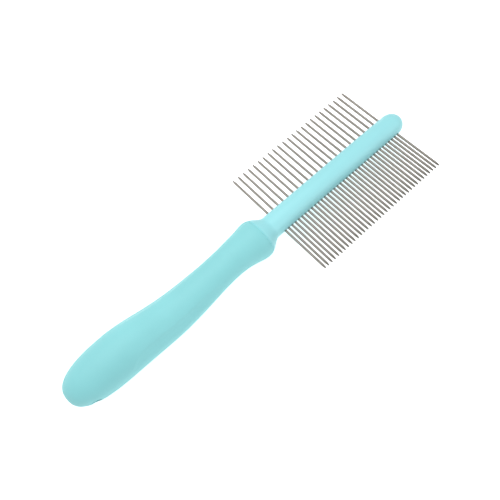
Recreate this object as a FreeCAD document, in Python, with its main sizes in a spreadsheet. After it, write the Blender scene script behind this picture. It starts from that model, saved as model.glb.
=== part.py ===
import FreeCAD, Part
import math
import os
import Sketcher

# Double-sided pet grooming comb, in millimetres.
#
# A rigid moulding runs the whole length: a tang inside the handle, a flared neck and a
# straight spine. Two rows of loose steel pins are moulded into the spine, a coarse row on
# one side and a fine row on the other. A soft sleeve covers the tang and makes the grip,
# and a hang hole passes crosswise through its butt.
#
# Frame: +X runs from the butt to the tip of the spine, +Y is the coarse side and +Z is up.
# The origin is under the middle of the length, on the surface that the grip's belly
# touches, and all pins lie in one plane parallel to that surface.

DRIVING_SIZES = [
    # Lengths, one after the other from the butt to the tip of the spine.
    ("grip_length", 100.6, "soft sleeve, butt to shut-off edge"),
    ("seam_gap", 0.35, "shadow gap between the sleeve and the neck"),
    ("neck_length", 6.15, "flared neck, seam to spine"),
    ("first_pin_margin", 3.8, "end of the neck to the first fine pin"),
    ("row_length", 72.0, "first fine pin to last fine pin"),
    ("last_pin_margin", 7.1, "last fine pin to the tip of the spine"),
    # Spine and the plane of the pins.
    ("pin_height", 10.0, "plane of the pins above the resting surface"),
    ("spine_width", 11.0, "spine, side to side"),
    ("spine_depth", 9.7, "spine, top to bottom"),
    ("spine_rise", 0.6, "centre of the spine above the pins"),
    ("tip_length", 6.2, "rounded end of the spine"),
    # Pins. The counts share the row length out in equal steps.
    ("coarse_count", 24, "pins in the coarse row"),
    ("coarse_inset_near", 0.1, "first coarse pin ahead of the first fine pin"),
    ("coarse_inset_far", 0.6, "last coarse pin behind the last fine pin"),
    ("coarse_diameter", 1.1, "coarse pin shank"),
    ("coarse_reach", 24.3, "coarse pin beyond the side of the spine"),
    ("fine_count", 37, "pins in the fine row"),
    ("fine_diameter", 1.1, "fine pin shank"),
    ("fine_reach", 24.3, "fine pin beyond the side of the spine"),
    ("pin_embed", 4.3, "pin inside the spine"),
    ("root_groove_inset", 1.2, "root end to the locking groove"),
    ("root_groove_width", 0.8, "locking groove round the root"),
    ("root_groove_depth", 0.12, "locking groove, below the shank"),
    ("taper_length", 2.0, "tapered end of a pin"),
    ("tip_radius", 0.34, "rounded tip of a pin"),
    # Grip: the sections of the sleeve's outer skin are ellipses.
    ("grip_flatness", 0.85, "height of a grip section over its width"),
    ("palm_place", 26.5, "butt to the palm swell"),
    ("palm_half_width", 10.55, "half width at the palm swell"),
    ("palm_rise", 1.9, "centre of the palm swell above the pins"),
    ("heel_half_width", 10.0, "half width between palm and belly"),
    ("heel_rise", 0.0, "centre of that section above the pins"),
    ("belly_place", 51.0, "butt to the belly, which touches the surface"),
    ("belly_half_width", 9.25, "half width at the belly"),
    ("flank_half_width", 8.2, "half width between belly and waist"),
    ("flank_rise", -1.2, "centre of that section above the pins"),
    ("waist_setback", 19.1, "waist back from the shut-off edge"),
    ("waist_half_width", 7.5, "half width at the waist"),
    ("waist_rise", 1.15, "centre of the waist above the pins"),
    ("throat_setback", 12.1, "throat back from the shut-off edge"),
    ("throat_half_width", 7.95, "half width at the throat"),
    ("throat_rise", 1.6, "centre of the throat above the pins"),
    ("flare_setback", 5.7, "flare back from the shut-off edge"),
    ("flare_half_width", 9.05, "half width at the flare"),
    ("flare_rise", 0.85, "centre of the flare above the pins"),
    ("collar_setback", 2.6, "crest of the collar back from the shut-off edge"),
    ("collar_half_width", 9.5, "half width at the crest of the collar"),
    ("collar_rise", 0.75, "centre of the collar above the pins"),
    # Joint between the sleeve and the tang.
    ("sleeve_wall", 2.2, "soft wall over the tang"),
    ("seam_depth", 0.35, "shadow gap, below the skin on each side of it"),
    ("window_diameter", 6.0, "flow-through window in the tang"),
    ("window_near_place", 25.2, "butt to the first window"),
    ("window_far_setback", 12.5, "last window back from the shut-off edge"),
    ("hang_hole_diameter", 4.5, "hang hole through the butt"),
    ("hang_hole_place", 7.6, "butt to the hang hole"),
    ("hang_hole_drop", 1.4, "hang hole below the centre of the butt"),
]

# Each section starts and ends a quarter turn from its long axis, so that the join line of a
# skin runs along its top or bottom and never through the pins.
SECTION_START = 90.0
BUTT_EXPONENT = 2.7
BUTT_ANGLES = (10.0, 25.0, 40.0, 55.0, 70.0)
TIP_ANGLES = (0.0, 20.0, 40.0, 60.0, 78.0)
NECK_SECTIONS = 6
NECK_LEAN = 1.25
WINDOW_COUNT = 5
FINE_PINS_PER_NODE = 2
LEAST_CUT_SHARE = 0.0001

LENGTHS = ("grip_length", "seam_gap", "neck_length", "first_pin_margin", "row_length", "last_pin_margin")
OVERALL = "(" + " + ".join("sizes." + name for name in LENGTHS) + ")"
SEAM = "sizes.grip_length"
RIM = "(sizes.grip_length + sizes.seam_gap)"
SPINE_START = "(" + " + ".join("sizes." + name for name in LENGTHS[:3]) + ")"
FIRST_PIN = "(" + " + ".join("sizes." + name for name in LENGTHS[:4]) + ")"
TIP_START = "(%s - sizes.tip_length)" % OVERALL

# Turns a flat ellipse across the handle, with its long axis sideways or upright.
LYING = FreeCAD.Rotation(FreeCAD.Vector(0, 1, 0), FreeCAD.Vector(0, 0, 1), FreeCAD.Vector(1, 0, 0), "ZXY")
STANDING = FreeCAD.Rotation(FreeCAD.Vector(0, 0, 1), FreeCAD.Vector(0, -1, 0), FreeCAD.Vector(1, 0, 0), "ZXY")
TO_COARSE_SIDE = FreeCAD.Rotation()
TO_FINE_SIDE = FreeCAD.Rotation(FreeCAD.Vector(0, 0, 1), 180)
SIDEWAYS = FreeCAD.Rotation(FreeCAD.Vector(1, 0, 0), -90)

doc = FreeCAD.newDocument("grooming_comb")
sizes = doc.addObject("Spreadsheet::Sheet", "sizes")


def fill_sheet():
    """Writes each driving size once, as a plain number with a word for its alias."""
    for row, (alias, value, meaning) in enumerate(DRIVING_SIZES, start=1):
        sizes.set("A%d" % row, meaning)
        sizes.set("B%d" % row, str(value))
        sizes.setAlias("B%d" % row, alias)
    doc.recompute()


def along(place):
    """Expression for the X of a place that is counted from the butt."""
    return "%s - %s / 2" % (place, OVERALL)


def above(rise):
    """Expression for the Z of a place that is counted from the plane of the pins."""
    return "sizes.pin_height + %s" % rise


def blend(first, last, share):
    """Expression for a value on the way from one to another."""
    return "(%s + (%s - %s) * %s)" % (first, last, first, share)


def ellipse(name, place, centre_height, half_width, half_height):
    """An upright ellipse across the handle, drawn along whichever of its half sizes is the longer."""
    ring = doc.addObject("Part::Ellipse", name)
    longer, shorter, stance = half_width, half_height, LYING
    if sizes.evalExpression(half_height) > sizes.evalExpression(half_width):
        longer, shorter, stance = half_height, half_width, STANDING
    ring.setExpression("MajorRadius", longer)
    ring.setExpression("MinorRadius", shorter)
    ring.Angle1 = ring.Angle2 = SECTION_START
    ring.Placement = FreeCAD.Placement(FreeCAD.Vector(), stance)
    ring.setExpression("Placement.Base.x", along(place))
    ring.setExpression("Placement.Base.z", centre_height)
    return ring


def skin(name, sections, ruled=False):
    """A solid through a row of sections."""
    loft = doc.addObject("Part::Loft", name)
    loft.Sections = sections
    loft.Solid = True
    loft.Ruled = ruled
    return loft


def fuse(name, pieces):
    """Several solids made into one."""
    joined = doc.addObject("Part::MultiFuse", name)
    joined.Shapes = pieces
    return joined


def cut(name, base, tool):
    """One solid less another."""
    remains = doc.addObject("Part::Cut", name)
    remains.Base = base
    remains.Tool = tool
    return remains


def group(name, pieces):
    """Separate solids held as one shape."""
    held = doc.addObject("Part::Compound", name)
    held.Links = pieces
    return held


def rod(name, diameter, length, places, rotation):
    """A cylinder; places gives the expressions for the X, Y and Z of its foot."""
    drill = doc.addObject("Part::Cylinder", name)
    drill.setExpression("Radius", diameter + " / 2")
    drill.setExpression("Height", length)
    drill.Placement = FreeCAD.Placement(FreeCAD.Vector(), rotation)
    for axis, place in zip("xyz", places):
        drill.setExpression("Placement.Base." + axis, place)
    return drill


# The handle's sections: where each stands, its half width and the height of its centre.
BELLY_HEIGHT = "sizes.belly_half_width * sizes.grip_flatness"
WAIST_PLACE = "(%s - sizes.waist_setback)" % SEAM
COLLAR_PLACE = "(%s - sizes.collar_setback)" % SEAM
HEEL_PLACE = blend("sizes.palm_place", "sizes.belly_place", 0.5)
FLANK_PLACE = blend("sizes.belly_place", WAIST_PLACE, 0.5)
GRIP_SECTIONS = [
    ("palm", "sizes.palm_place", "sizes.palm_half_width", above("sizes.palm_rise")),
    ("heel", HEEL_PLACE, "sizes.heel_half_width", above("sizes.heel_rise")),
    ("belly", "sizes.belly_place", "sizes.belly_half_width", BELLY_HEIGHT),
    ("flank", FLANK_PLACE, "sizes.flank_half_width", above("sizes.flank_rise")),
    ("waist", WAIST_PLACE, "sizes.waist_half_width", above("sizes.waist_rise")),
    ("throat", "(%s - sizes.throat_setback)" % SEAM, "sizes.throat_half_width", above("sizes.throat_rise")),
    ("flare", "(%s - sizes.flare_setback)" % SEAM, "sizes.flare_half_width", above("sizes.flare_rise")),
    ("collar", COLLAR_PLACE, "sizes.collar_half_width", above("sizes.collar_rise")),
]


def neck_section(name, place, inset):
    """A section of the S-shaped fall from the collar's crest to the spine, set in from the skin."""
    share = "(((%s - %s) / (%s - %s)) ^ %s)" % (place, COLLAR_PLACE, SPINE_START, COLLAR_PLACE, NECK_LEAN)
    fall = "(%s ^ 2 * (3 - 2 * %s))" % (share, share)
    half_width = blend("sizes.collar_half_width", "sizes.spine_width / 2", fall)
    half_height = blend("sizes.collar_half_width * sizes.grip_flatness", "sizes.spine_depth / 2", fall)
    centre_height = above(blend("sizes.collar_rise", "sizes.spine_rise", fall))
    return ellipse(name, place, centre_height, half_width + " - " + inset, half_height + " - " + inset)


def handle_form(name, wall):
    """The handle's form, set in from the outer skin by a wall, with a blunt rounded butt.

    The butt is a superellipse from its pole to the palm swell."""
    palm_height = above("sizes.palm_rise")
    pole = doc.addObject("Part::Vertex", name + "_pole")
    pole.setExpression("X", along(wall))
    pole.setExpression("Z", palm_height)
    sections = [pole]
    for angle in BUTT_ANGLES:
        reach = 1.0 - math.cos(math.radians(angle)) ** (2.0 / BUTT_EXPONENT)
        swell = math.sin(math.radians(angle)) ** (2.0 / BUTT_EXPONENT)
        sections.append(ellipse(
            "%s_butt_%d" % (name, angle),
            "(%s + (sizes.palm_place - %s) * %.6f)" % (wall, wall, reach),
            palm_height,
            "(sizes.palm_half_width - %s) * %.6f" % (wall, swell),
            "(sizes.palm_half_width * sizes.grip_flatness - %s) * %.6f" % (wall, swell),
        ))
    for station, place, half_width, centre_height in GRIP_SECTIONS:
        sections.append(ellipse(
            "%s_%s" % (name, station),
            place,
            centre_height,
            "%s - %s" % (half_width, wall),
            "%s * sizes.grip_flatness - %s" % (half_width, wall),
        ))
    sections.append(neck_section(name + "_edge", SEAM, wall))
    return skin(name, sections)


def shut_off_land():
    """The short land at the bottom of the shadow gap, which the mould closes on."""
    ends = [
        neck_section("land_back", SEAM, "sizes.seam_depth"),
        neck_section("land_front", RIM, "sizes.seam_depth"),
    ]
    return skin("shut_off_land", ends, ruled=True)


def neck():
    """The flared neck, from its rim at the shadow gap down to the spine."""
    sections = []
    for number in range(NECK_SECTIONS):
        place = blend(RIM, SPINE_START, number / (NECK_SECTIONS - 1))
        sections.append(neck_section("neck_%d" % (number + 1), place, "0"))
    return skin("neck", sections)


def spine_section(name, place, share):
    """A section of the spine, at a share of its full size."""
    return ellipse(
        name,
        place,
        above("sizes.spine_rise"),
        "sizes.spine_width / 2 * %.6f" % share,
        "sizes.spine_depth / 2 * %.6f" % share,
    )


def spine():
    """The straight bar that carries both rows."""
    ends = [
        spine_section("spine_near", SPINE_START, 1.0),
        spine_section("spine_far", TIP_START, 1.0),
    ]
    return skin("spine", ends, ruled=True)


def spine_tip():
    """The rounded end of the spine, a quarter ellipse in profile."""
    sections = []
    for angle in TIP_ANGLES:
        reach = math.sin(math.radians(angle))
        place = "(%s + sizes.tip_length * %.6f)" % (TIP_START, reach)
        sections.append(spine_section("tip_%d" % angle, place, math.cos(math.radians(angle))))
    pole = doc.addObject("Part::Vertex", "tip_pole")
    pole.setExpression("X", along(OVERALL))
    pole.setExpression("Z", above("sizes.spine_rise"))
    return skin("spine_tip", sections + [pole])


def tang_windows():
    """Upright holes through the tang, which the soft sleeve flows into and locks through."""
    far_place = "(%s - sizes.window_far_setback)" % SEAM
    windows = []
    for number in range(WINDOW_COUNT):
        place = blend("sizes.window_near_place", far_place, number / (WINDOW_COUNT - 1))
        windows.append(rod(
            "tang_window_%d" % (number + 1),
            "sizes.window_diameter",
            "4 * sizes.palm_half_width",
            (along(place), "0", "-sizes.palm_half_width"),
            FreeCAD.Rotation(),
        ))
    return group("tang_windows", windows)


def hang_hole():
    """The hole that runs crosswise through the butt."""
    return rod(
        "hang_hole",
        "sizes.hang_hole_diameter",
        "4 * sizes.palm_half_width",
        (along("sizes.hang_hole_place"), "-2 * sizes.palm_half_width", above("sizes.palm_rise - sizes.hang_hole_drop")),
        SIDEWAYS,
    )


def pin_corners(row):
    """Half profile of a pin: how far out from its axis, and how far from the comb's middle."""
    radius = "sizes.%s_diameter / 2" % row
    root = "sizes.spine_width / 2 - sizes.pin_embed"
    groove = root + " + sizes.root_groove_inset"
    tip = "sizes.spine_width / 2 + sizes.%s_reach" % row
    return [
        ("0", root),
        (radius, root),
        (radius, groove),
        (radius + " - sizes.root_groove_depth", groove),
        (radius + " - sizes.root_groove_depth", groove + " + sizes.root_groove_width"),
        (radius, groove + " + sizes.root_groove_width"),
        (radius, tip + " - sizes.taper_length"),
        ("sizes.tip_radius", tip + " - sizes.tip_radius"),
        ("0", tip),
    ]


def pin_profile(body, row):
    """Sketch of the half profile: straight runs, and an arc round the tip, back along the axis."""
    sketch = body.newObject("Sketcher::SketchObject", body.Name + "_profile")
    plane = next(item for item in body.Origin.OriginFeatures if item.Role == "XY_Plane")
    sketch.AttachmentSupport = [(plane, "")]
    sketch.MapMode = "FlatFace"
    corners = pin_corners(row)
    points = [FreeCAD.Vector(*(sizes.evalExpression(size) for size in corner), 0) for corner in corners]
    runs = [Part.LineSegment(first, last) for first, last in zip(points[:7], points[1:8])]
    tip_circle = Part.Circle(FreeCAD.Vector(0, points[7].y, 0), FreeCAD.Vector(0, 0, 1), points[7].x)
    runs.append(Part.ArcOfCircle(tip_circle, 0, math.pi / 2))
    runs.append(Part.LineSegment(points[8], points[0]))
    loop = [sketch.addGeometry(run) for run in runs]
    for here, following in zip(loop, loop[1:] + loop[:1]):
        sketch.addConstraint(Sketcher.Constraint("Coincident", here, 2, following, 1))
    for run, point, corner in zip(loop, points, corners):
        fix_corner(sketch, run, point, corner)
    sketch.addConstraint(Sketcher.Constraint("PointOnObject", loop[7], 3, -2))
    return sketch


def fix_corner(sketch, run, point, corner):
    """Holds the start of a run at its two distances from the origin of the sketch."""
    if corner[0] == "0":
        sketch.addConstraint(Sketcher.Constraint("PointOnObject", run, 1, -2))
    else:
        out = sketch.addConstraint(Sketcher.Constraint("DistanceX", -1, 1, run, 1, point.x))
        sketch.setExpression("Constraints[%d]" % out, corner[0])
    up = sketch.addConstraint(Sketcher.Constraint("DistanceY", -1, 1, run, 1, point.y))
    sketch.setExpression("Constraints[%d]" % up, corner[1])


def pins(label, row, rotation, place, pitch, count):
    """One node of a row: a turned pin at a place, and its copies a pitch apart along its own X."""
    body = doc.addObject("PartDesign::Body", label)
    body.AllowCompound = True
    profile = pin_profile(body, row)
    turned = body.newObject("PartDesign::Revolution", label + "_turned")
    turned.Profile = profile
    turned.ReferenceAxis = (profile, ["V_Axis"])
    turned.Angle = 360
    body.Tip = turned
    if count > 1:
        copies = body.newObject("PartDesign::LinearPattern", label + "_copies")
        copies.Originals = [turned]
        copies.Direction = (profile, ["H_Axis"])
        copies.setExpression("Length", "%s * %d" % (pitch, count - 1))
        copies.Occurrences = count
        body.Tip = copies
    body.Placement = FreeCAD.Placement(FreeCAD.Vector(), rotation)
    body.setExpression("Placement.Base.x", along(place))
    body.setExpression("Placement.Base.z", "sizes.pin_height")
    return body


def coarse_row():
    """The coarse pins, one to a node, from the handle outwards."""
    row_length = "(sizes.row_length - sizes.coarse_inset_near - sizes.coarse_inset_far)"
    pitch = "%s / (sizes.coarse_count - 1)" % row_length
    start = "%s + sizes.coarse_inset_near" % FIRST_PIN
    row = []
    for number in range(int(sizes.coarse_count)):
        place = "(%s + %s * %d)" % (start, pitch, number)
        row.append(pins("coarse_pin_%02d" % (number + 1), "coarse", TO_COARSE_SIDE, place, pitch, 1))
    return row


def fine_row():
    """The fine pins, two to a node, from the handle outwards.

    Turned to the fine side, a node's own X runs back towards the handle, so its first pin is the far one."""
    pitch = "sizes.row_length / (sizes.fine_count - 1)"
    total = int(sizes.fine_count)
    row = []
    for first in range(0, total, FINE_PINS_PER_NODE):
        count = min(FINE_PINS_PER_NODE, total - first)
        place = "(%s + %s * %d)" % (FIRST_PIN, pitch, first + count - 1)
        label = "fine_pins_%02d" % (first // FINE_PINS_PER_NODE + 1)
        row.append(pins(label, "fine", TO_FINE_SIDE, place, pitch, count))
    return row


def mouldings(pin_nodes):
    """The core and the sleeve, each cut by what it holds."""
    solid_core = fuse("solid_core", [
        handle_form("tang", "sizes.sleeve_wall"),
        shut_off_land(),
        neck(),
        spine(),
        spine_tip(),
    ])
    windowed_core = cut("windowed_core", solid_core, tang_windows())
    core_hole = hang_hole()
    comb_core = cut("comb_core", windowed_core, group("core_cutters", pin_nodes + [core_hole]))
    solid_sleeve = cut("solid_sleeve", handle_form("grip", "0"), windowed_core)
    grip_sleeve = cut("grip_sleeve", solid_sleeve, core_hole)
    return [comb_core, grip_sleeve]


def check_objects():
    """Stops on any object that failed to build."""
    for item in doc.Objects:
        if "Invalid" in item.State or "Error" in item.State:
            raise RuntimeError("%s did not build: %s" % (item.Label, item.getStatusString()))


def check_cuts():
    """Stops if a cut took nothing away."""
    for item in doc.Objects:
        if item.TypeId == "Part::Cut" and item.Shape.Volume > (1 - LEAST_CUT_SHARE) * item.Base.Shape.Volume:
            raise RuntimeError("%s removed nothing" % item.Label)


def export(nodes):
    """Checks each sub-part and writes it to a file named after it."""
    for node in nodes:
        if node.Shape.isNull() or not node.Shape.isValid():
            raise RuntimeError("%s has no valid shape" % node.Label)
    os.makedirs("parts", exist_ok=True)
    for node in nodes:
        node.Shape.exportStep("parts/%s.step" % node.Label)
        print("%-16s %2d solids %10.3f mm3" % (node.Label, len(node.Shape.Solids), node.Shape.Volume))


fill_sheet()
pin_nodes = coarse_row() + fine_row()
nodes = mouldings(pin_nodes) + pin_nodes
doc.recompute()
check_objects()
check_cuts()
export(nodes)
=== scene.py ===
import bisect
import functools
import math
import random

import bmesh
import bpy
import numpy as np
from bpy.props import FloatProperty, FloatVectorProperty, IntProperty, PointerProperty
from mathutils import Euler, Matrix, Vector
from mathutils.bvhtree import BVHTree


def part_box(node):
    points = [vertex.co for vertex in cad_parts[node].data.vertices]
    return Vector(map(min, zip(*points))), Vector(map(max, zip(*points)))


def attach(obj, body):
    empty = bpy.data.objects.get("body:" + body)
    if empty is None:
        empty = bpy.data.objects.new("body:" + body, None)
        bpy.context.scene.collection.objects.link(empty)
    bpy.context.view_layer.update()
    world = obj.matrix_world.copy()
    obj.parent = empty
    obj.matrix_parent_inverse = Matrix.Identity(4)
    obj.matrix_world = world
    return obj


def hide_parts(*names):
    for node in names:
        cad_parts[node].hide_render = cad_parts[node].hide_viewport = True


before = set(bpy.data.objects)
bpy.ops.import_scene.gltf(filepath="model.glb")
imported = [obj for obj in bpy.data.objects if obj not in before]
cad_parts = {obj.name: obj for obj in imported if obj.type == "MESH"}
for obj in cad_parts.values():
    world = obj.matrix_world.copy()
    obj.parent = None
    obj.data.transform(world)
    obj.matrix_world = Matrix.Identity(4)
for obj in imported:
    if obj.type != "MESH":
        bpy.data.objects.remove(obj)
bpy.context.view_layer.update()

bl_info = {
    "name": "Double-Sided Grooming Comb",
    "version": (1, 0, 0),
    "blender": (4, 5, 0),
    "location": "3D View > Sidebar > Comb",
    "description": "Builds the soft grip, the moulded core and the steel pins of a grooming comb",
    "category": "Object",
}

# Frame: +X runs from the butt to the tip of the spine, +Y is the coarse side and +Z is up.
# The comb rests on Z = 0, and every length is in metres.

BODY = "root"
SLEEVE = "grip_sleeve"
CORE = "comb_core"
COARSE = "coarse_pin"
FINE = "fine_pins"
MM = 0.001

# Places along the grip, from the butt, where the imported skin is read.
PALM = 26.5 * MM
GRIP_PLACES = (38.75 * MM, 51.0 * MM, 66.25 * MM, 81.5 * MM, 88.5 * MM, 94.9 * MM)
COLLAR = 98.0 * MM
SPINE_START = 107.1 * MM
TIP_LENGTH = 6.2 * MM
SEAM_GAP = 0.35 * MM

# The butt's fullness, where a half ellipse would be 2, and how late the neck falls to the spine.
BUTT_EXPONENT = 2.7
NECK_LEAN = 1.25

# Beyond the skin on every side: rays start here.
FAR = 60 * MM

# The hang hole's flare starts this far outside the widest skin.
LIP_STAND_OFF = 0.15 * MM

# How finely each stretch is divided, as rings along X, or as points round a ring.
BUTT_RINGS = 44
GRIP_RINGS = 130
BORE_RINGS = 60
TANG_RINGS = 70
NECK_RINGS = 28
SPINE_RINGS = 370
TIP_RINGS = 24
ROUND_RINGS = 5
LIP_RINGS = 8
GRIP_POINTS = 144
CORE_POINTS = 112
HOLE_POINTS = 64

# Tang rings crowd toward the butt, where its form turns fastest.
TANG_CROWDING = 1.4

# Half widths of the mould's witness lines, on the grip as an angle and on the spine as a length.
GRIP_LINE = math.radians(1.2)
GRIP_LINE_SHOULDER = math.radians(0.5)
SPINE_LINE = 0.12 * MM
SPINE_LINE_STEPS = 8

# A pin is divided along its shank, its taper and its tip, and the taper starts slowly.
SHANK_RINGS = 6
TAPER_RINGS = 5
TIP_ROUND_RINGS = 4
TAPER_CURVE = 1.3
COARSE_SEED = 11
FINE_SEED = 23

# Edges sharper than these stay crisp.
GRIP_CREASE = math.radians(50)
CORE_CREASE = math.radians(40)
PIN_CREASE = math.radians(60)

# Noise stays mostly between these, so colours and values are spread over them.
NOISE_LOW = 0.3
NOISE_HIGH = 0.7

# The stage: half the table's width, the tint of the room, and each light's place, aim and width.
TABLE_HALF = 3.0
ROOM_TINT = (0.97, 0.985, 1.0, 1.0)
KEY_LIGHT = ((-0.04, 0.14, 0.36), (0.02, 0.0, 0.01), 0.34)
FILL_LIGHT = ((0.18, -0.30, 0.26), (0.05, 0.0, 0.01), 0.35)
SENSOR_WIDTH = 36.0
CLIP_START = 0.01
CLIP_END = 20.0

# A facet fades out a little above the side, and its run times the square of what is left peaks at one.
FACET_FOOT = math.radians(8)
FACET_PEAK = 27 / 4

LENGTH = {"subtype": "DISTANCE", "unit": "LENGTH", "precision": 5}


def size(name, description, default):
    """A length that a user may change, in metres."""
    return FloatProperty(name=name, description=description, default=default, min=0.0, **LENGTH)


def colour(name, description, default):
    """A colour that a user may change."""
    return FloatVectorProperty(
        name=name, description=description, default=default, subtype="COLOR", size=3, min=0.0, max=1.0
    )


class CombGripSizes(bpy.types.PropertyGroup):
    """The soft grip."""

    wall: size("Wall", "Soft wall over the tang", 2.2 * MM)
    facet_depth: size("Facet depth", "Shallow thumb facet under each shoulder crease", 0.46 * MM)
    facet_start: size("Facet start", "Butt to the start of the facets", 24.0 * MM)
    facet_end: size("Facet end", "Butt to the end of the facets", 78.0 * MM)
    crease_lean: FloatProperty(
        name="Crease lean",
        description="Height of the creases, as an angle above the sides",
        default=math.radians(47),
        min=0.0,
        subtype="ANGLE",
        unit="ROTATION",
    )
    edge_round: size("Edge round", "Rounding of the sleeve's shut-off edge", 0.14 * MM)
    hole_radius: size("Hole radius", "Hang hole through the butt", 2.25 * MM)
    hole_place: size("Hole place", "Butt to the hang hole", 7.6 * MM)
    hole_drop: size("Hole drop", "Hang hole below the centre of the butt", 1.4 * MM)
    hole_lip: size("Hole lip", "Rounding of the mouths of the hang hole", 0.8 * MM)
    parting_line: size("Parting line", "Height of the witness line of the mould", 0.035 * MM)


class CombCoreSizes(bpy.types.PropertyGroup):
    """The rigid moulding."""

    seam_depth: size("Seam depth", "Shadow gap below the skin on each side of it", 0.25 * MM)
    rim_round: size("Rim round", "Rounding of the neck's rim at the shadow gap", 0.14 * MM)
    tang_clearance: size("Tang clearance", "Room between the tang and the sleeve", 0.02 * MM)
    dimple_depth: size("Dimple depth", "Sink in the plastic round the root of a pin", 0.16 * MM)
    dimple_width: size("Dimple width", "Width of that sink beyond the pin", 0.4 * MM)
    parting_line: size("Parting line", "Height of the witness line in the plane of the pins", 0.04 * MM)


class CombPinSizes(bpy.types.PropertyGroup):
    """The steel pins."""

    taper: size("Taper", "Tapered end of a pin", 2.0 * MM)
    tip_radius: size("Tip radius", "Rounded tip of a pin", 0.34 * MM)
    lean: FloatProperty(
        name="Lean",
        description="Most that a pin leans from true",
        default=math.radians(0.22),
        min=0.0,
        subtype="ANGLE",
        unit="ROTATION",
    )
    sides: IntProperty(name="Sides", description="Facets round a pin", default=20, min=8)


class CombColours(bpy.types.PropertyGroup):
    """Colours of the comb and its stage."""

    grip: colour("Grip", "Soft elastomer", (0.241, 0.612, 0.634))
    # The moulding's colour is partly its own plastic and partly painted light: it is made lighter than the
    # grip to stand in for the brighter light on the head.
    moulding: colour("Moulding", "Rigid moulded plastic", (0.317, 0.710, 0.748))
    # The steel's colour is partly its own and partly painted shade: it is darker than bare steel to stand in
    # for the shade among the close fine pins.
    steel: colour("Steel", "Drawn stainless wire", (0.222, 0.204, 0.182))
    floor: colour("Floor", "Pale table", (0.93, 0.93, 0.93))


class CombStage(bpy.types.PropertyGroup):
    """The table, the lights and the camera."""

    camera_place: FloatVectorProperty(
        name="Camera place",
        description="Where the camera stands",
        default=(-0.04696, -0.07418, 0.20058),
        subtype="XYZ",
        unit="LENGTH",
        size=3,
    )
    camera_aim: FloatVectorProperty(
        name="Camera aim",
        description="Point that the camera looks at",
        default=(-0.001512, -0.001568, 0.01010),
        subtype="XYZ",
        unit="LENGTH",
        size=3,
    )
    camera_roll: FloatProperty(
        name="Camera roll",
        description="Turn of the camera about its line of sight",
        default=math.radians(-10.83),
        subtype="ANGLE",
        unit="ROTATION",
    )
    lens: FloatProperty(name="Lens", description="Focal length", default=34.96, min=1.0, unit="CAMERA")
    key_power: FloatProperty(
        name="Key power", description="Soft light over the coarse side", default=1.20, unit="POWER"
    )
    fill_power: FloatProperty(
        name="Fill power", description="Soft light from the fine side", default=0.52, unit="POWER"
    )
    room_light: FloatProperty(name="Room light", description="Even light from the room", default=0.45, min=0.0)


# ---------------------------------------------------------------- shapes


def smooth_curve(places, values):
    """The smooth curve through the values, level at both ends, as a function of the place."""
    count = len(places)
    matrix = np.zeros((count, count))
    right = np.zeros(count)
    matrix[0, 0] = matrix[-1, -1] = 1.0
    for i in range(1, count - 1):
        before = places[i] - places[i - 1]
        after = places[i + 1] - places[i]
        matrix[i, i - 1] = 1.0 / before
        matrix[i, i] = 2.0 / before + 2.0 / after
        matrix[i, i + 1] = 1.0 / after
        right[i] = 3.0 * ((values[i] - values[i - 1]) / before**2 + (values[i + 1] - values[i]) / after**2)
    slopes = np.linalg.solve(matrix, right)

    def value(place):
        i = min(max(bisect.bisect_right(places, place) - 1, 0), count - 2)
        step = places[i + 1] - places[i]
        t = (place - places[i]) / step
        rise = values[i + 1] - values[i]
        bend = slopes[i] * (1 - t) ** 2 * t * step - slopes[i + 1] * t**2 * (1 - t) * step
        return float(values[i] + rise * t**2 * (3 - 2 * t) + bend)

    return value


def smoothstep(low, high, value):
    """Nought below low, one above high, and a smooth rise between."""
    t = min(max((value - low) / (high - low), 0.0), 1.0)
    return t * t * (3.0 - 2.0 * t)


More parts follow.
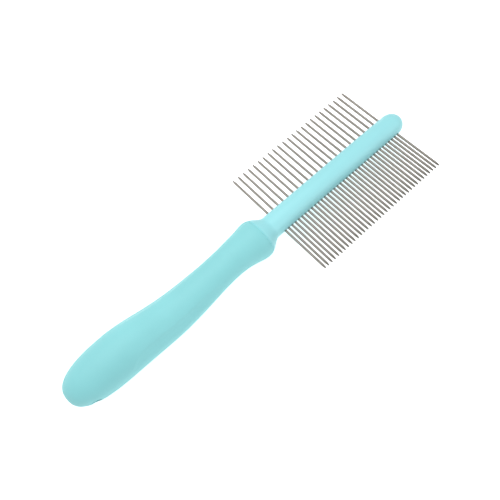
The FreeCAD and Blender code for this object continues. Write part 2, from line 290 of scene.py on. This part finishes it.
class Form:
    """The comb's outer form as ellipses across X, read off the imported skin."""

    def __init__(self):
        low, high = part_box(SLEEVE)
        self.butt = low.x
        self.seam = high.x
        self.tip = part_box(CORE)[1].x
        self.rim = self.seam + SEAM_GAP
        sleeve = self.packed_skin(SLEEVE)
        core = self.packed_skin(CORE)
        self.palm = self.butt + PALM
        self.collar = self.butt + COLLAR
        self.spine_start = self.butt + SPINE_START
        self.tip_start = self.tip - TIP_LENGTH
        places = [self.palm] + [self.butt + place for place in GRIP_PLACES] + [self.collar]
        readings = [self.read(sleeve, place) for place in places]
        self.grip = [smooth_curve(places, column) for column in zip(*readings)]
        self.palm_size = readings[0]
        self.collar_size = readings[-1]
        self.spine_size = self.read(core, (self.spine_start + self.tip_start) / 2)

    @staticmethod
    def packed_skin(node):
        """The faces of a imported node, ready for rays."""
        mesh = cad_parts[node].data
        points = [vertex.co for vertex in mesh.vertices]
        return BVHTree.FromPolygons(points, [face.vertices[:] for face in mesh.polygons])

    @staticmethod
    def read(skin, place):
        """Half width, half height and height of the centre of a packed skin."""
        top = skin.ray_cast(Vector((place, 0, FAR)), Vector((0, 0, -1)))[0].z
        bottom = skin.ray_cast(Vector((place, 0, -FAR)), Vector((0, 0, 1)))[0].z
        centre = (top + bottom) / 2
        side = skin.ray_cast(Vector((place, FAR, centre)), Vector((0, -1, 0)))[0].y
        return side, (top - bottom) / 2, centre

    def section(self, place):
        """Half width, half height and height of the centre at a place."""
        if place < self.palm:
            back = (self.palm - place) / (self.palm - self.butt)
            swell = (1.0 - min(back, 1.0) ** BUTT_EXPONENT) ** (1.0 / BUTT_EXPONENT)
            return self.palm_size[0] * swell, self.palm_size[1] * swell, self.palm_size[2]
        if place < self.collar:
            return tuple(curve(place) for curve in self.grip)
        if place < self.spine_start:
            run = ((place - self.collar) / (self.spine_start - self.collar)) ** NECK_LEAN
            fall = run**2 * (3 - 2 * run)
            return tuple(a + (b - a) * fall for a, b in zip(self.collar_size, self.spine_size))
        if place < self.tip_start:
            return self.spine_size
        reach = min((place - self.tip_start) / (self.tip - self.tip_start), 1.0)
        swell = math.sqrt(1.0 - reach**2)
        return self.spine_size[0] * swell, self.spine_size[1] * swell, self.spine_size[2]


@functools.cache
def comb_form():
    """The comb's form, read once."""
    return Form()


def ellipse_ring(place, section, inset, angles):
    """Points of an ellipse across X, set in by a wall."""
    half_width, half_height, centre = section
    return [
        Vector((place, (half_width - inset) * math.cos(a), centre + (half_height - inset) * math.sin(a)))
        for a in angles
    ]


def even_angles(count):
    """Even steps round a ring."""
    return [math.tau * i / count for i in range(count)]


def angles_with_line(count, line_angles, offsets):
    """Even steps round a ring, with close steps on each side of the given lines."""
    close = [line + offset for line in line_angles for offset in offsets]
    clear = max(offsets) + math.pi / count
    even = [
        a for a in even_angles(count)
        if all(abs(math.remainder(a - line, math.tau)) > clear for line in line_angles)
    ]
    return sorted(a % math.tau for a in even + close)


def loft(name, rings, first_pole, last_pole):
    """A closed skin through rings of equal count, with a pole at each end."""
    count = len(rings[0])
    points = [first_pole] + [point for ring in rings for point in ring] + [last_pole]
    faces = []
    for i in range(count):
        j = (i + 1) % count
        faces.append((0, 1 + j, 1 + i))
        for r in range(len(rings) - 1):
            here = 1 + r * count
            faces.append((here + i, here + j, here + count + j, here + count + i))
        last = 1 + (len(rings) - 1) * count
        faces.append((last + i, last + j, len(points) - 1))
    mesh = bpy.data.meshes.new(name)
    mesh.from_pydata(points, [], faces)
    mesh.validate()
    mesh.update()
    piece = bpy.data.objects.new(name, mesh)
    bpy.context.scene.collection.objects.link(piece)
    return piece


def outward(piece):
    """Turns every face of a closed piece outwards."""
    mesh = bmesh.new()
    mesh.from_mesh(piece.data)
    bmesh.ops.recalc_face_normals(mesh, faces=mesh.faces)
    mesh.to_mesh(piece.data)
    mesh.free()


def shade(piece, angle):
    """Smooth shading, with edges sharper than the angle kept crisp."""
    piece.data.polygons.foreach_set("use_smooth", [True] * len(piece.data.polygons))
    piece.data.set_sharp_from_angle(angle=angle)


def cut_away(piece, tool):
    """Takes the tool's volume out of a piece for good."""
    cut = piece.modifiers.new("cut", "BOOLEAN")
    cut.operation = "DIFFERENCE"
    cut.solver = "EXACT"
    cut.object = tool
    bpy.context.view_layer.update()
    evaluated = piece.evaluated_get(bpy.context.evaluated_depsgraph_get())
    made = bpy.data.meshes.new_from_object(evaluated)
    piece.modifiers.remove(cut)
    old = piece.data
    piece.data = made
    made.name = piece.name
    bpy.data.meshes.remove(old)


def drop(piece):
    """Removes a helper object and its mesh."""
    mesh = piece.data
    bpy.data.objects.remove(piece)
    bpy.data.meshes.remove(mesh)


def finish_piece(piece, material, nodes):
    """Gives a piece its material and its place in the frame."""
    piece.data.materials.clear()
    piece.data.materials.append(material)
    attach(piece, BODY)
    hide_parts(*nodes)


def hole_cutter(form, sizes):
    """The hang hole as a solid, flared at the skin on both sides so that its mouths come out rounded."""
    place = form.butt + sizes.hole_place
    half_width, _, centre = form.section(place)
    centre -= sizes.hole_drop
    rings = []
    profile = [(-FAR / 2, sizes.hole_radius + sizes.hole_lip)]
    start = half_width + LIP_STAND_OFF
    for i in range(LIP_RINGS + 1):
        turn = math.pi / 2 * i / LIP_RINGS
        out = sizes.hole_lip * (1 - math.sin(turn))
        back = sizes.hole_lip * (1 - math.cos(turn))
        profile.append((-start + back, sizes.hole_radius + out))
    both = profile + [(-y, r) for y, r in reversed(profile)]
    for y, radius in both:
        rings.append([
            Vector((place + radius * math.cos(a), y, centre + radius * math.sin(a)))
            for a in even_angles(HOLE_POINTS)
        ])
    first = Vector((place, both[0][0], centre))
    last = Vector((place, both[-1][0], centre))
    tool = loft("hole_cutter", rings, first, last)
    outward(tool)
    return tool


# ---------------------------------------------------------------- grip


def grip_stations(form, sizes):
    """Places of the grip's rings, close together at the butt and at the shut-off edge."""
    places = []
    for i in range(1, BUTT_RINGS):
        turn = math.pi / 2 * i / BUTT_RINGS
        places.append(form.butt + PALM * (1 - math.cos(turn) ** (2 / BUTT_EXPONENT)))
    end = form.seam - sizes.edge_round
    places += [form.palm + (end - form.palm) * i / GRIP_RINGS for i in range(GRIP_RINGS + 1)]
    return places


def facet(form, sizes, place, angle):
    """Depth of the shallow thumb facets, which start at a crease along each upper shoulder."""
    middle = (sizes.facet_start + sizes.facet_end) / 2
    half = (sizes.facet_end - sizes.facet_start) / 2
    off = abs(place - form.butt - middle) / half
    if off >= 1:
        return 0.0
    crease = sizes.crease_lean * (1 - off**6)
    lean = math.asin(max(-1.0, min(1.0, math.sin(angle))))
    run = (crease - lean) / (crease - FACET_FOOT) if crease > FACET_FOOT else -1.0
    if not 0 < run < 1:
        return 0.0
    return sizes.facet_depth * (1 - off**2) * FACET_PEAK * run * (1 - run) ** 2


def grip_skin(form, sizes, angles):
    """Rings of the grip's outer skin, from the butt to the shut-off edge."""
    rings = []
    for place in grip_stations(form, sizes):
        half_width, half_height, centre = form.section(place)
        ring = []
        for angle in angles:
            normal = Vector((0, math.cos(angle) / half_width, math.sin(angle) / half_height)).normalized()
            to_line = min(abs(math.remainder(angle - side, math.tau)) for side in (0, math.pi))
            ridge = sizes.parting_line * max(0.0, 1 - to_line / GRIP_LINE)
            point = Vector((place, half_width * math.cos(angle), centre + half_height * math.sin(angle)))
            ring.append(point + normal * (ridge - facet(form, sizes, place, angle)))
        rings.append(ring)
    for i in range(1, ROUND_RINGS + 1):
        turn = math.pi / 2 * i / ROUND_RINGS
        place = form.seam - sizes.edge_round * (1 - math.sin(turn))
        inset = sizes.edge_round * (1 - math.cos(turn))
        rings.append(ellipse_ring(place, form.section(place), inset, angles))
    return rings


def grip_lining(form, sizes, angles):
    """Rings of the grip's bore, from the shut-off edge back to its closed end."""
    rings = []
    start = form.butt + sizes.wall
    for i in range(BORE_RINGS):
        place = form.seam - (form.seam - start) * i / BORE_RINGS
        rings.append(ellipse_ring(place, bore_section(form, sizes, place), 0.0, angles))
    return rings


def bore_section(form, sizes, place):
    """Half width, half height and centre of the bore, a wall inside the skin."""
    start = form.butt + sizes.wall
    if place < form.palm:
        back = (form.palm - place) / (form.palm - start)
        swell = (1.0 - min(back, 1.0) ** BUTT_EXPONENT) ** (1.0 / BUTT_EXPONENT)
        width, height, centre = form.palm_size
        return (width - sizes.wall) * swell, (height - sizes.wall) * swell, centre
    width, height, centre = form.section(place)
    return width - sizes.wall, height - sizes.wall, centre


class COMB_OT_grip(bpy.types.Operator):
    """Builds the soft grip with its thumb facets, rounded shut-off edge and hang hole"""

    bl_idname = "comb.grip"
    bl_label = "Soft grip"

    def execute(self, context):
        sizes = context.scene.comb_grip
        form = comb_form()
        offsets = (-GRIP_LINE, -GRIP_LINE_SHOULDER, 0.0, GRIP_LINE_SHOULDER, GRIP_LINE)
        angles = angles_with_line(GRIP_POINTS, (0, math.pi), offsets)
        rings = grip_skin(form, sizes, angles) + grip_lining(form, sizes, angles)
        centre = form.palm_size[2]
        grip = loft(
            "soft_grip",
            rings,
            Vector((form.butt, 0, centre)),
            Vector((form.butt + sizes.wall, 0, centre)),
        )
        outward(grip)
        cutter = hole_cutter(form, sizes)
        cut_away(grip, cutter)
        drop(cutter)
        shade(grip, GRIP_CREASE)
        finish_piece(grip, grip_material(context.scene.comb_colours), [SLEEVE])
        return {"FINISHED"}


# ---------------------------------------------------------------- core


def pin_axes(prefix):
    """X of each pin of a row, its radius and height, and the Y of its root and tip."""
    pins = []
    for name in sorted(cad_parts):
        if not name.startswith(prefix):
            continue
        low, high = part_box(name)
        radius = (high.z - low.z) / 2
        height = (high.z + low.z) / 2
        ends = sorted((low.y, high.y), key=abs)
        xs = [low.x + radius]
        if high.x - low.x > 3 * radius:
            xs.append(high.x - radius)
        pins.append((name, xs, radius, height, ends[0], ends[1]))
    return pins


def row_of(prefix):
    """Every pin of a row as (X, radius), in order."""
    return sorted((x, radius) for _, xs, radius, _, _, _ in pin_axes(prefix) for x in xs)


def nearest(row, places, x):
    """The pin of a row that is nearest to a place."""
    i = bisect.bisect_left(places, x)
    choices = row[max(i - 1, 0):i + 1]
    return min(choices, key=lambda pin: abs(pin[0] - x))


def spine_ring(form, sizes, place, angles, rows, pin_height):
    """A ring of the spine, sunk a little round each pin and with a witness line between the pins."""
    half_width, half_height, centre = form.section(place)
    ring = []
    for angle in angles:
        normal = Vector((0, math.cos(angle) / half_width, math.sin(angle) / half_height)).normalized()
        point = Vector((place, half_width * math.cos(angle), centre + half_height * math.sin(angle)))
        row, places = rows[0] if point.y > 0 else rows[1]
        x, radius = nearest(row, places, place)
        apart = math.hypot(place - x, point.z - pin_height)
        sink = sizes.dimple_depth * (1 - smoothstep(radius, radius + sizes.dimple_width, apart))
        from_line = abs(point.z - pin_height) / SPINE_LINE
        ridge = sizes.parting_line * max(0.0, 1 - from_line) if sink == 0 else 0.0
        ring.append(point + normal * (ridge - sink))
    return ring


def core_rings(form, sizes, wall, angles, rows, pin_height):
    """Rings of the core: the tang, the shadow gap, the neck, the spine and its tip."""
    rings = []
    grip = bpy.context.scene.comb_grip
    inset = sizes.tang_clearance
    start = form.butt + wall
    for i in range(1, TANG_RINGS + 1):
        place = start + inset + (form.seam - start - inset) * (i / TANG_RINGS) ** TANG_CROWDING
        rings.append(ellipse_ring(place, bore_section(form, grip, place), inset, angles))
    for place in (form.seam, form.rim):
        rings.append(ellipse_ring(place, form.section(place), sizes.seam_depth, angles))
    for i in range(ROUND_RINGS + 1):
        turn = math.pi / 2 * i / ROUND_RINGS
        place = form.rim + sizes.rim_round * (1 - math.cos(turn))
        rings.append(ellipse_ring(place, form.section(place), sizes.rim_round * (1 - math.sin(turn)), angles))
    first = form.rim + sizes.rim_round
    for i in range(1, NECK_RINGS):
        place = first + (form.spine_start - first) * i / NECK_RINGS
        rings.append(ellipse_ring(place, form.section(place), 0.0, angles))
    for i in range(SPINE_RINGS + 1):
        place = form.spine_start + (form.tip_start - form.spine_start) * i / SPINE_RINGS
        rings.append(spine_ring(form, sizes, place, angles, rows, pin_height))
    for i in range(1, TIP_RINGS):
        place = form.tip_start + TIP_LENGTH * math.sin(math.pi / 2 * i / TIP_RINGS)
        rings.append(ellipse_ring(place, form.section(place), 0.0, angles))
    return rings


class COMB_OT_core(bpy.types.Operator):
    """Builds the rigid core: tang, shadow gap, neck, spine and rounded tip"""

    bl_idname = "comb.core"
    bl_label = "Moulded core"

    def execute(self, context):
        sizes = context.scene.comb_core
        grip = context.scene.comb_grip
        form = comb_form()
        rows = []
        for prefix in (COARSE, FINE):
            row = row_of(prefix)
            rows.append((row, [x for x, _ in row]))
        pin_height = pin_axes(COARSE)[0][3]
        tilt = math.asin((pin_height - form.spine_size[2]) / form.spine_size[1])
        step = SPINE_LINE / form.spine_size[1]
        offsets = [step * i for i in range(-SPINE_LINE_STEPS, SPINE_LINE_STEPS + 1)]
        angles = angles_with_line(CORE_POINTS, (tilt, math.pi - tilt), offsets)
        rings = core_rings(form, sizes, grip.wall, angles, rows, pin_height)
        start = form.butt + grip.wall + sizes.tang_clearance
        core = loft(
            "moulded_core",
            rings,
            Vector((start, 0, form.palm_size[2])),
            Vector((form.tip, 0, form.spine_size[2])),
        )
        outward(core)
        cutter = hole_cutter(form, grip)
        cut_away(core, cutter)
        drop(cutter)
        shade(core, CORE_CREASE)
        finish_piece(core, moulding_material(context.scene.comb_colours), [CORE])
        return {"FINISHED"}


# ---------------------------------------------------------------- pins


def pin_points(radius, root, tip, sizes):
    """Half profile of a pin along Y: distance from the axis, and Y."""
    way = 1 if tip > root else -1
    points = [(radius, root)]
    for i in range(1, SHANK_RINGS):
        points.append((radius, root + (tip - root - way * sizes.taper) * i / SHANK_RINGS))
    shoulder = tip - way * sizes.taper
    end = tip - way * sizes.tip_radius
    for i in range(TAPER_RINGS + 1):
        t = i / TAPER_RINGS
        points.append((radius + (sizes.tip_radius - radius) * t**TAPER_CURVE, shoulder + (end - shoulder) * t))
    for i in range(1, TIP_ROUND_RINGS):
        turn = math.pi / 2 * i / TIP_ROUND_RINGS
        points.append((sizes.tip_radius * math.cos(turn), end + way * sizes.tip_radius * math.sin(turn)))
    return points


def pin_mesh(xs, radius, height, root, tip, sizes, chance):
    """Points and faces of one node's pins, each a hair off true."""
    points = []
    faces = []
    count = sizes.sides
    for x in xs:
        lean = Euler((chance.uniform(-1, 1) * sizes.lean, 0, chance.uniform(-1, 1) * sizes.lean))
        seat = Vector((x, root, height))
        turn = Matrix.Translation(seat) @ lean.to_matrix().to_4x4() @ Matrix.Translation(-seat)
        base = len(points)
        profile = pin_points(radius, root, tip, sizes)
        points.append(turn @ Vector((x, root, height)))
        for out, y in profile:
            points += [
                turn @ Vector((x + out * math.cos(a), y, height + out * math.sin(a)))
                for a in even_angles(count)
            ]
        points.append(turn @ Vector((x, tip, height)))
        last_ring = base + 1 + (len(profile) - 1) * count
        for i in range(count):
            j = (i + 1) % count
            faces.append((base, base + 1 + i, base + 1 + j))
            for r in range(len(profile) - 1):
                here = base + 1 + r * count
                faces.append((here + i, here + count + i, here + count + j, here + j))
            faces.append((last_ring + i, len(points) - 1, last_ring + j))
    return points, faces


def build_row(prefix, label, sizes, material, seed):
    """Builds one piece for each node of a row."""
    chance = random.Random(seed)
    for number, (node, xs, radius, height, root, tip) in enumerate(pin_axes(prefix), start=1):
        points, faces = pin_mesh(xs, radius, height, root, tip, sizes, chance)
        mesh = bpy.data.meshes.new("%s_%02d" % (label, number))
        mesh.from_pydata(points, [], faces)
        mesh.update()
        piece = bpy.data.objects.new(mesh.name, mesh)
        bpy.context.scene.collection.objects.link(piece)
        outward(piece)
        shade(piece, PIN_CREASE)
        finish_piece(piece, material, [node])


class COMB_OT_pins(bpy.types.Operator):
    """Builds the coarse and the fine row of steel pins"""

    bl_idname = "comb.pins"
    bl_label = "Steel pins"

    def execute(self, context):
        sizes = context.scene.comb_pins
        material = steel_material(context.scene.comb_colours)
        build_row(COARSE, "coarse_wire", sizes, material, COARSE_SEED)
        build_row(FINE, "fine_wires", sizes, material, FINE_SEED)
        return {"FINISHED"}


# ---------------------------------------------------------------- materials


def blank_material(name):
    """A node material with its main shader, and its tree."""
    material = bpy.data.materials.new(name)
    material.use_nodes = True
    tree = material.node_tree
    return material, tree, tree.nodes["Principled BSDF"]


def noise(tree, coordinates, *, scale, detail=2.0, stretch=None):
    """A noise texture in the piece's own coordinates, stretched along an axis if asked."""
    texture = tree.nodes.new("ShaderNodeTexNoise")
    texture.inputs["Scale"].default_value = scale
    texture.inputs["Detail"].default_value = detail
    source = coordinates
    if stretch:
        mapping = tree.nodes.new("ShaderNodeMapping")
        mapping.inputs["Scale"].default_value = stretch
        tree.links.new(coordinates, mapping.inputs["Vector"])
        source = mapping.outputs["Vector"]
    tree.links.new(source, texture.inputs["Vector"])
    return texture.outputs["Fac"]


def ramp(tree, value, stops):
    """A colour ramp on a value."""
    made = tree.nodes.new("ShaderNodeValToRGB")
    band = made.color_ramp
    while len(band.elements) < len(stops):
        band.elements.new(0.5)
    for element, (position, tone) in zip(band.elements, stops):
        element.position = position
        element.color = (*tone, 1.0)
    tree.links.new(value, made.inputs["Fac"])
    return made.outputs["Color"]


def spread(tree, value, *, low, high):
    """A value spread over a range."""
    made = tree.nodes.new("ShaderNodeMapRange")
    made.inputs["From Min"].default_value = NOISE_LOW
    made.inputs["From Max"].default_value = NOISE_HIGH
    made.inputs["To Min"].default_value = low
    made.inputs["To Max"].default_value = high
    tree.links.new(value, made.inputs["Value"])
    return made.outputs["Result"]


def bump(tree, height, *, distance, strength, below=None):
    """A bump from a height, over another bump if there is one."""
    made = tree.nodes.new("ShaderNodeBump")
    made.inputs["Distance"].default_value = distance
    made.inputs["Strength"].default_value = strength
    tree.links.new(height, made.inputs["Height"])
    if below:
        tree.links.new(below, made.inputs["Normal"])
    return made.outputs["Normal"]


def shaded(tone, factor):
    """A colour made lighter or darker."""
    return tuple(min(1.0, channel * factor) for channel in tone)


def varied(tree, value, tone, *, dark, light):
    """A colour that drifts between a darker and a lighter shade of itself."""
    return ramp(tree, value, [(NOISE_LOW, shaded(tone, dark)), (NOISE_HIGH, shaded(tone, light))])


def grip_material(colours):
    """Soft-touch elastomer: fine spark-eroded grain, faint mottling and a dull sheen."""
    material, tree, shader = blank_material("soft_elastomer")
    where = tree.nodes.new("ShaderNodeTexCoord").outputs["Object"]
    mottle = noise(tree, where, scale=60.0, detail=3.0)
    tone = varied(tree, mottle, colours.grip, dark=0.975, light=1.025)
    tree.links.new(tone, shader.inputs["Base Color"])
    grain = noise(tree, where, scale=2600.0)
    tree.links.new(spread(tree, grain, low=0.50, high=0.62), shader.inputs["Roughness"])
    handling = noise(tree, where, scale=220.0, detail=3.0)
    waves = bump(tree, handling, distance=0.05 * MM, strength=0.25)
    surface = bump(tree, grain, distance=0.03 * MM, strength=0.5, below=waves)
    tree.links.new(surface, shader.inputs["Normal"])
    shader.inputs["Specular IOR Level"].default_value = 0.35
    shader.inputs["Sheen Weight"].default_value = 0.08
    shader.inputs["Sheen Roughness"].default_value = 0.5
    return material


def moulding_material(colours):
    """Rigid moulded plastic with a satin texture and faint flow marks. Its base colour is partly painted
    light: it is lighter than the grip to stand in for the brighter light that falls on the head.
    """
    material, tree, shader = blank_material("satin_moulding")
    where = tree.nodes.new("ShaderNodeTexCoord").outputs["Object"]
    flow = noise(tree, where, scale=90.0, detail=3.0, stretch=(0.35, 1.0, 1.0))
    tone = varied(tree, flow, colours.moulding, dark=0.985, light=1.015)
    tree.links.new(tone, shader.inputs["Base Color"])
    grain = noise(tree, where, scale=3200.0)
    tree.links.new(spread(tree, grain, low=0.36, high=0.46), shader.inputs["Roughness"])
    tree.links.new(bump(tree, grain, distance=0.02 * MM, strength=0.35), shader.inputs["Normal"])
    shader.inputs["Specular IOR Level"].default_value = 0.45
    return material


def steel_material(colours):
    """Drawn stainless wire: fine lines along each pin, with tumbled scratches. Its base colour is partly
    painted shade: it is darker than bare steel to stand in for the shade among the close fine pins.
    """
    material, tree, shader = blank_material("drawn_steel")
    where = tree.nodes.new("ShaderNodeTexCoord").outputs["Object"]
    drawn = noise(tree, where, scale=9000.0, stretch=(1.0, 0.02, 1.0))
    tone = varied(tree, drawn, colours.steel, dark=0.86, light=1.12)
    tree.links.new(tone, shader.inputs["Base Color"])
    patches = noise(tree, where, scale=500.0)
    tree.links.new(spread(tree, patches, low=0.26, high=0.40), shader.inputs["Roughness"])
    tree.links.new(bump(tree, drawn, distance=0.006 * MM, strength=0.4), shader.inputs["Normal"])
    shader.inputs["Metallic"].default_value = 1.0
    return material


def floor_material(colours):
    """Pale lit table, even all over with the faintest tooth."""
    material, tree, shader = blank_material("pale_table")
    where = tree.nodes.new("ShaderNodeTexCoord").outputs["Object"]
    tooth = noise(tree, where, scale=400.0)
    tone = varied(tree, tooth, colours.floor, dark=0.995, light=1.005)
    tree.links.new(tone, shader.inputs["Base Color"])
    shader.inputs["Roughness"].default_value = 0.9
    shader.inputs["Specular IOR Level"].default_value = 0.1
    shader.inputs["Emission Color"].default_value = (1.0, 1.0, 1.0, 1.0)
    shader.inputs["Emission Strength"].default_value = 0.62
    return material


# ---------------------------------------------------------------- stage


def soft_light(name, place, aim, width, power):
    """A square soft light that faces a point."""
    data = bpy.data.lights.new(name, "AREA")
    data.shape = "SQUARE"
    data.size = width
    data.energy = power
    light = bpy.data.objects.new(name, data)
    light.location = place
    light.rotation_euler = (Vector(aim) - Vector(place)).to_track_quat("-Z", "Y").to_euler()
    bpy.context.scene.collection.objects.link(light)


class COMB_OT_stage(bpy.types.Operator):
    """Sets the table, the lights and the camera"""

    bl_idname = "comb.stage"
    bl_label = "Stage"

    def execute(self, context):
        stage = context.scene.comb_stage
        mesh = bpy.data.meshes.new("table")
        corners = [
            (-TABLE_HALF, -TABLE_HALF, 0),
            (TABLE_HALF, -TABLE_HALF, 0),
            (TABLE_HALF, TABLE_HALF, 0),
            (-TABLE_HALF, TABLE_HALF, 0),
        ]
        mesh.from_pydata(corners, [], [(0, 1, 2, 3)])
        table = bpy.data.objects.new("table", mesh)
        context.scene.collection.objects.link(table)
        mesh.materials.append(floor_material(context.scene.comb_colours))

        world = bpy.data.worlds.new("studio")
        world.use_nodes = True
        background = world.node_tree.nodes["Background"]
        background.inputs["Color"].default_value = ROOM_TINT
        background.inputs["Strength"].default_value = stage.room_light
        context.scene.world = world

        soft_light("key_light", *KEY_LIGHT, stage.key_power)
        soft_light("fill_light", *FILL_LIGHT, stage.fill_power)

        data = bpy.data.cameras.new("camera")
        data.sensor_fit = "HORIZONTAL"
        data.sensor_width = SENSOR_WIDTH
        data.lens = stage.lens
        data.clip_start = CLIP_START
        data.clip_end = CLIP_END
        camera = bpy.data.objects.new("camera", data)
        context.scene.collection.objects.link(camera)
        place = Vector(stage.camera_place)
        sight = (Vector(stage.camera_aim) - place).to_track_quat("-Z", "Y")
        camera.location = place
        camera.rotation_mode = "QUATERNION"
        camera.rotation_quaternion = sight @ Euler((0, 0, stage.camera_roll)).to_quaternion()
        context.scene.camera = camera
        context.scene.view_settings.view_transform = "Standard"
        return {"FINISHED"}


# ---------------------------------------------------------------- panel and start


class COMB_PT_panel(bpy.types.Panel):
    """Sizes, colours and steps of the comb"""

    bl_idname = "COMB_PT_panel"
    bl_label = "Grooming comb"
    bl_space_type = "VIEW_3D"
    bl_region_type = "UI"
    bl_category = "Comb"

    def draw(self, context):
        for operator, group in STEPS:
            box = self.layout.box()
            box.operator(operator.bl_idname)
            values = getattr(context.scene, group)
            for name in values.__annotations__:
                box.prop(values, name)
        box = self.layout.box()
        for name in CombColours.__annotations__:
            box.prop(context.scene.comb_colours, name)


GROUPS = {
    "comb_grip": CombGripSizes,
    "comb_core": CombCoreSizes,
    "comb_pins": CombPinSizes,
    "comb_stage": CombStage,
    "comb_colours": CombColours,
}
STEPS = [
    (COMB_OT_grip, "comb_grip"),
    (COMB_OT_core, "comb_core"),
    (COMB_OT_pins, "comb_pins"),
    (COMB_OT_stage, "comb_stage"),
]
CLASSES = (*GROUPS.values(), *(operator for operator, _ in STEPS), COMB_PT_panel)


def register():
    """Registers the classes and hangs the property groups on the scene."""
    for entry in CLASSES:
        bpy.utils.register_class(entry)
    for name, group in GROUPS.items():
        setattr(bpy.types.Scene, name, PointerProperty(type=group))


def unregister():
    """Undoes register."""
    for name in GROUPS:
        delattr(bpy.types.Scene, name)
    for entry in reversed(CLASSES):
        bpy.utils.unregister_class(entry)


def main():
    """Builds the comb and its stage."""
    register()
    bpy.ops.comb.grip()
    bpy.ops.comb.core()
    bpy.ops.comb.pins()
    bpy.ops.comb.stage()


if __name__ == "__main__":
    main()
